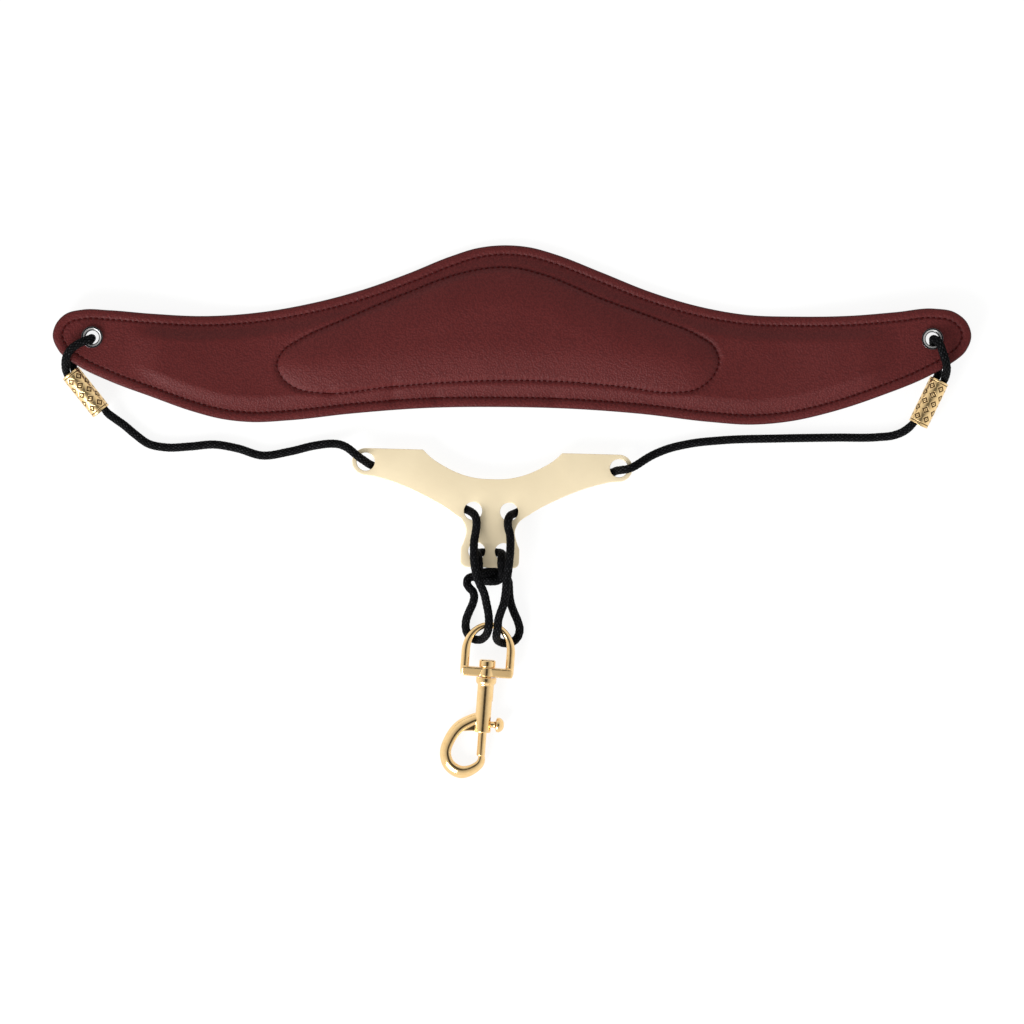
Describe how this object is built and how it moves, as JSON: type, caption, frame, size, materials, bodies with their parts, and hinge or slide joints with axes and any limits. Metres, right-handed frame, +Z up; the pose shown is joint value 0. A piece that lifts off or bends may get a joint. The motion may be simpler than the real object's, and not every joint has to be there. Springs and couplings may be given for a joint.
{
  "type": "saxophone neck strap",
  "caption": "Neck strap laid flat: a padded leather neck pad, a cord through a V-shaped spreader plate, and a swivel snap hook with a sprung bolt for an instrument's ring.",
  "frame": {"origin": "under the middle of the strap's box without its cord, on the table it lies on", "axes": "+X across the strap to the picture's right, +Y from the hook to the neck pad, +Z up from the table"},
  "size_m": [0.42, 0.2441, 0.0156],
  "materials": {
    "burgundy_leather": "fine-grained burgundy leather, semi-matt",
    "backing_leather": "soft suede-like backing leather",
    "foam": "closed-cell foam, hidden inside the pad",
    "thread": "dark red sewing thread",
    "gunmetal": "dark plated, polished",
    "gold": "polished gold plating",
    "pale_gold": "satin pale gold plating",
    "cord": "black braided cord",
    "spring_steel": "bright wire"
  },
  "bodies": {
    "pad": {"front_leather": "burgundy_leather", "back_leather": "backing_leather", "foam_sheet": "foam", "centre_cushion": "foam", "rim_seam_thread": "thread", "centre_seam_thread": "thread", "left_eyelet": "gunmetal", "right_eyelet": "gunmetal", "left_eyelet_washer": "gunmetal", "right_eyelet_washer": "gunmetal", "left_ferrule": "gold", "right_ferrule": "gold", "left_end_loop": "cord", "right_end_loop": "cord", "left_side_cord": "cord", "right_side_cord": "cord"},
    "plate": {"v_plate": "pale_gold", "left_plate_cord": "cord", "right_plate_cord": "cord", "lower_bridge_cord": "cord"},
    "hook_cord": {"left_hook_cord": "cord", "right_hook_cord": "cord"},
    "eye": {"swivel_eye": "gold"},
    "hook": {"hook_body": "gold", "swivel_rivet": "gold", "bolt_spring": "spring_steel"},
    "bolt": {"bolt": "gold", "thumb_knob": "gold"}
  },
  "joints": [
    {"name": "plate_slide", "type": "slide", "parent": "pad", "child": "plate", "axis": [0, 1, 0], "range_m": [-0.02, 0.01], "deforming": ["left_side_cord", "right_side_cord", "left_hook_cord", "right_hook_cord"]},
    {"name": "hook_cord_slide", "type": "slide", "parent": "plate", "child": "hook_cord", "axis": [0, 1, 0], "range_m": [-0.005, 0.01], "deforming": ["left_hook_cord", "right_hook_cord"]},
    {"name": "eye_swing", "type": "hinge", "parent": "hook_cord", "child": "eye", "pos_m": [-0.00996, -0.05171, 0.00733], "axis": [-0.9973, 0.0732, 0], "range_deg": [0, 110], "deforming": ["left_hook_cord", "right_hook_cord"]},
    {"name": "hook_swivel", "type": "hinge", "parent": "eye", "child": "hook", "pos_m": [-0.0117, -0.0754, 0.00584], "axis": [0.0731, 0.9953, 0.0628], "continuous": true},
    {"name": "bolt_slide", "type": "slide", "parent": "hook", "child": "bolt", "axis": [0.0731, 0.9953, 0.0628], "range_m": [0, 0.009], "stiffness_N_per_m": 250, "springref_m": -0.004, "deforming": ["bolt_spring"]}
  ],
  "couplings": [
    {"joint": "hook_cord_slide", "follows": "plate_slide", "ratio": -0.5}
  ]
}
